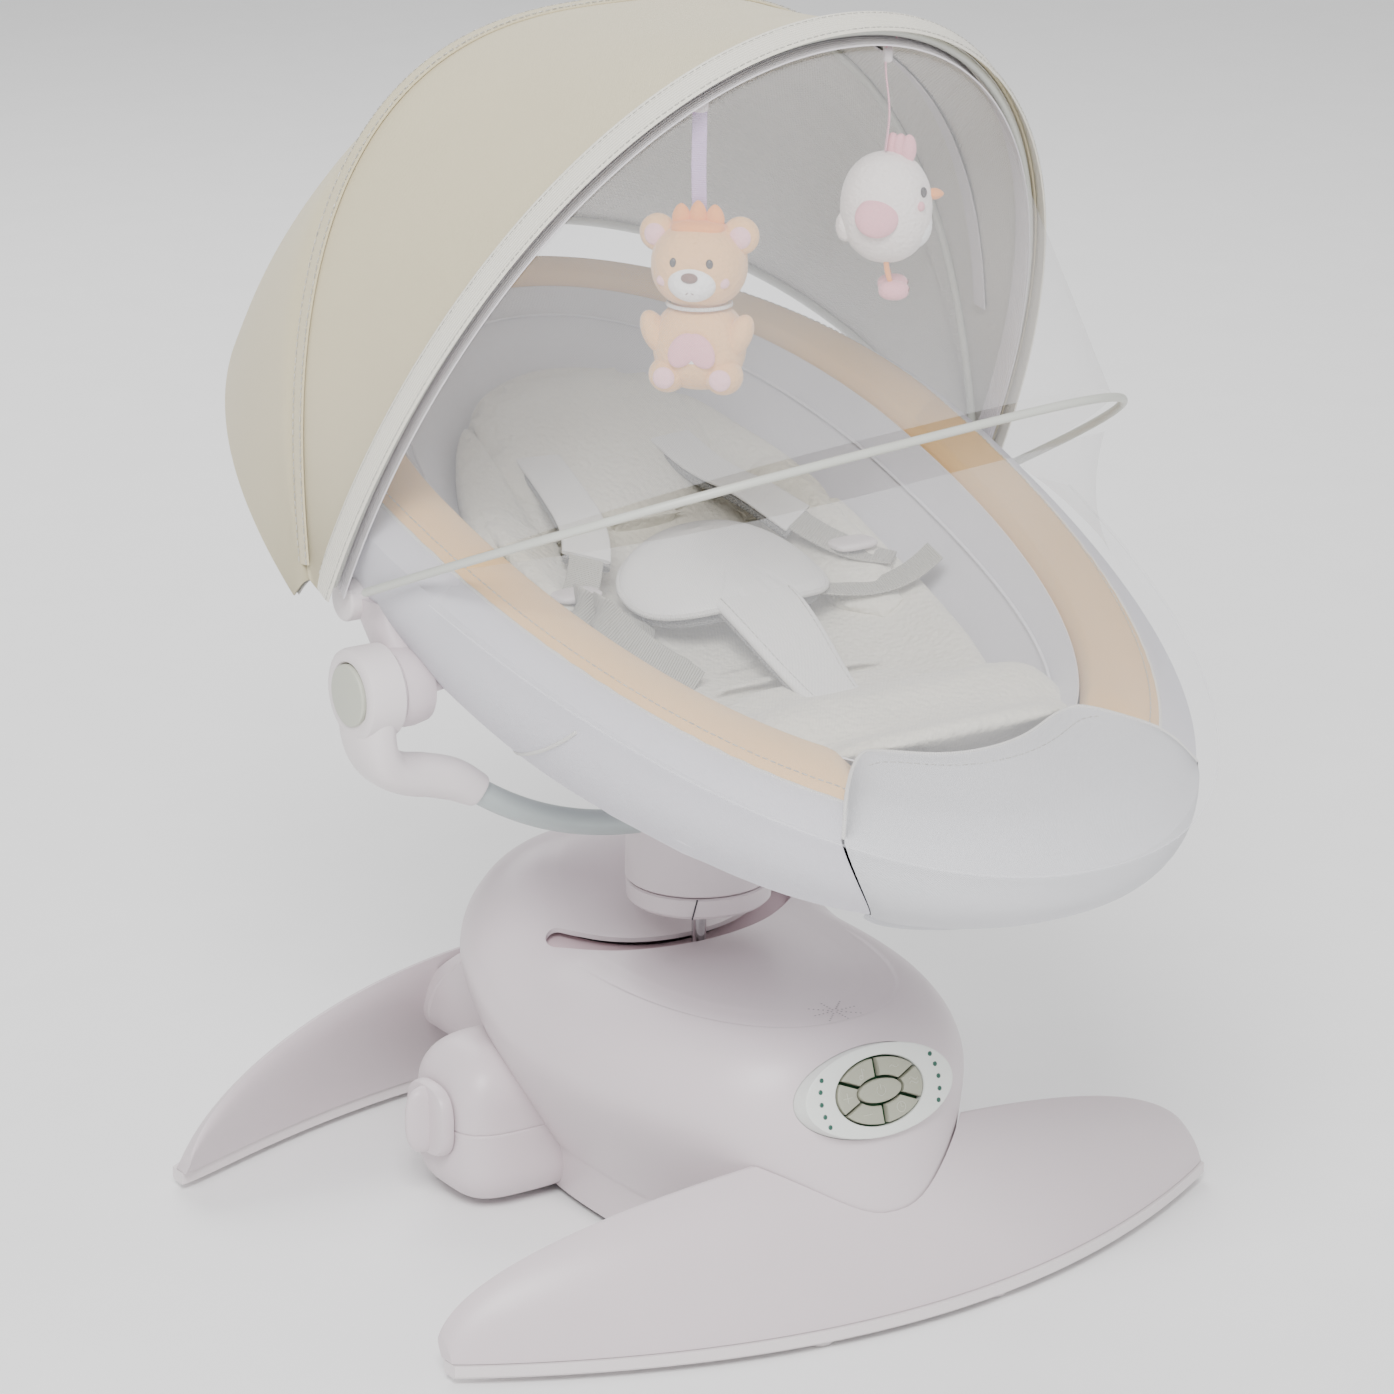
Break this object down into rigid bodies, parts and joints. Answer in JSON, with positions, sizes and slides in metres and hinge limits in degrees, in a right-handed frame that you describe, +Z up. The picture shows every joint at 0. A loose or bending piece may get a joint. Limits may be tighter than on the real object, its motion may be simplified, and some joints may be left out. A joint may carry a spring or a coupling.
{
  "type": "baby swing",
  "caption": "Electric baby swing: crescent-footed base with control panel, swinging post and yoke, reclining padded seat, folding canopy, insect net and hanging toys.",
  "frame": {"origin": "centre of the object's box in plan, on the floor under the feet", "axes": "+Z up; -Y is the foot end, where the control panel and the front leg are; +X is the sitting baby's left"},
  "size_m": [0.5408, 0.6931, 0.7551],
  "materials": {
    "base_plastic": "satin",
    "white_plastic": "satin",
    "rubber_feet": "matte",
    "grey_tube": "satin",
    "steel": "bright",
    "dark_part": "matte",
    "arm_metal": "cast",
    "copper": "wound",
    "circuit_board": "matte",
    "button_grey": "matte",
    "seat_outer": "textile covered",
    "rim_fabric": "woven",
    "plush": "short pile",
    "apron_fabric": "woven",
    "webbing": "satin webbing",
    "canopy_fabric": "woven",
    "net_mesh": "open mesh",
    "bear_plush": "short pile",
    "chick_plush": "short pile"
  },
  "bodies": {
    "base": {"base_lower_cover": "base_plastic", "base_upper_cover": "base_plastic", "front_leg_cover": "base_plastic", "front_leg_base": "white_plastic", "rear_leg_cover": "base_plastic", "rear_leg_base": "white_plastic", "front_left_foot": "rubber_feet", "front_right_foot": "rubber_feet", "rear_left_foot": "rubber_feet", "rear_right_foot": "rubber_feet", "rear_neck": "base_plastic", "left_pod": "base_plastic", "right_pod": "base_plastic", "control_panel": "white_plastic", "button_board": "circuit_board", "speaker": "dark_part", "drive_coil": "copper", "swing_bearing": "dark_part", "power_inlet": "dark_part"},
    "left_knob": {"left_lock_knob": "white_plastic"},
    "right_knob": {"right_lock_knob": "white_plastic"},
    "power_button": {"power_button": "button_grey"},
    "melody_button": {"melody_button": "button_grey"},
    "volume_up_button": {"volume_up_button": "button_grey"},
    "volume_down_button": {"volume_down_button": "button_grey"},
    "timer_button": {"timer_button": "button_grey"},
    "swing_up_button": {"swing_up_button": "button_grey"},
    "swing_down_button": {"swing_down_button": "button_grey"},
    "carrier": {"swing_arm": "arm_metal", "swing_post": "steel", "head_ring": "base_plastic", "swing_head": "base_plastic", "yoke_tube": "grey_tube", "left_recline_bracket": "white_plastic", "right_recline_bracket": "white_plastic", "left_hinge_pin": "steel", "right_hinge_pin": "steel"},
    "left_recline_button": {"left_recline_button": "button_grey"},
    "right_recline_button": {"right_recline_button": "button_grey"},
    "seat": {"seat_bucket": "seat_outer", "seat_cover": "rim_fabric", "seat_frame_tube": "steel", "seat_liner": "plush", "foot_apron": "apron_fabric", "chest_pad": "apron_fabric", "crotch_strap": "webbing", "left_harness_strap": "webbing", "right_harness_strap": "webbing", "left_seat_hinge": "white_plastic", "right_seat_hinge": "white_plastic", "canopy_rear_bow": "grey_tube"},
    "canopy_mid": {"canopy_mid_bow": "grey_tube", "canopy_rear_fabric": "canopy_fabric"},
    "canopy_front": {"canopy_front_bow": "grey_tube", "canopy_front_fabric": "canopy_fabric"},
    "net": {"net_bow": "grey_tube", "upper_net": "net_mesh", "lower_net": "net_mesh"},
    "bear": {"bear_toy": "bear_plush"},
    "chick": {"chick_toy": "chick_plush"}
  },
  "joints": [
    {"name": "left_knob_turn", "type": "hinge", "parent": "base", "child": "left_knob", "pos_m": [-0.146, 0.1289, 0.058], "axis": [1, 0, 0], "range_deg": [0, 90]},
    {"name": "right_knob_turn", "type": "hinge", "parent": "base", "child": "right_knob", "pos_m": [0.146, 0.1289, 0.058], "axis": [1, 0, 0], "range_deg": [0, 90]},
    {"name": "power_press", "type": "slide", "parent": "base", "child": "power_button", "axis": [0, 0.9397, -0.342], "range_m": [0, 0.001], "stiffness_N_per_m": 1500, "springref_m": -0.0005},
    {"name": "melody_press", "type": "slide", "parent": "base", "child": "melody_button", "axis": [0, 0.9397, -0.342], "range_m": [0, 0.001], "stiffness_N_per_m": 1500, "springref_m": -0.0005},
    {"name": "volume_up_press", "type": "slide", "parent": "base", "child": "volume_up_button", "axis": [0, 0.9397, -0.342], "range_m": [0, 0.001], "stiffness_N_per_m": 1500, "springref_m": -0.0005},
    {"name": "volume_down_press", "type": "slide", "parent": "base", "child": "volume_down_button", "axis": [0, 0.9397, -0.342], "range_m": [0, 0.001], "stiffness_N_per_m": 1500, "springref_m": -0.0005},
    {"name": "timer_press", "type": "slide", "parent": "base", "child": "timer_button", "axis": [0, 0.9397, -0.342], "range_m": [0, 0.001], "stiffness_N_per_m": 1500, "springref_m": -0.0005},
    {"name": "swing_up_press", "type": "slide", "parent": "base", "child": "swing_up_button", "axis": [0, 0.9397, -0.342], "range_m": [0, 0.001], "stiffness_N_per_m": 1500, "springref_m": -0.0005},
    {"name": "swing_down_press", "type": "slide", "parent": "base", "child": "swing_down_button", "axis": [0, 0.9397, -0.342], "range_m": [0, 0.001], "stiffness_N_per_m": 1500, "springref_m": -0.0005},
    {"name": "swing", "type": "hinge", "parent": "base", "child": "carrier", "pos_m": [0, 0.17623, 0.19437], "axis": [0, -0.2079, 0.9781], "range_deg": [-30, 30]},
    {"name": "left_recline_press", "type": "slide", "parent": "carrier", "child": "left_recline_button", "axis": [1, 0, 0], "range_m": [0, 0.0025], "stiffness_N_per_m": 1500, "springref_m": -0.0005},
    {"name": "right_recline_press", "type": "slide", "parent": "carrier", "child": "right_recline_button", "axis": [-1, 0, 0], "range_m": [0, 0.0025], "stiffness_N_per_m": 1500, "springref_m": -0.0005},
    {"name": "recline", "type": "hinge", "parent": "carrier", "child": "seat", "pos_m": [0, 0.0569, 0.366], "axis": [1, 0, 0], "range_deg": [-14, 0]},
    {"name": "canopy_mid_fold", "type": "hinge", "parent": "seat", "child": "canopy_mid", "pos_m": [0, 0.0989, 0.409], "axis": [1, 0, 0], "range_deg": [-30, 0], "deforming": ["canopy_rear_fabric"]},
    {"name": "canopy_front_fold", "type": "hinge", "parent": "canopy_mid", "child": "canopy_front", "pos_m": [0, 0.0989, 0.409], "axis": [1, 0, 0], "range_deg": [-30, 0], "deforming": ["canopy_front_fabric"]},
    {"name": "net_lift", "type": "hinge", "parent": "canopy_front", "child": "net", "pos_m": [0, 0.0989, 0.409], "axis": [1, 0, 0], "range_deg": [-12, 0], "deforming": ["upper_net", "lower_net"]},
    {"name": "bear_swing", "type": "hinge", "parent": "canopy_front", "child": "bear", "pos_m": [-0.082, -0.07121, 0.72336], "axis": [1, 0, 0], "range_deg": [-12, 12]},
    {"name": "chick_swing", "type": "hinge", "parent": "canopy_front", "child": "chick", "pos_m": [0.038, -0.08058, 0.74005], "axis": [1, 0, 0], "range_deg": [-12, 12]}
  ],
  "couplings": [
    {"joint": "canopy_front_fold", "follows": "canopy_mid_fold", "ratio": 1}
  ]
}
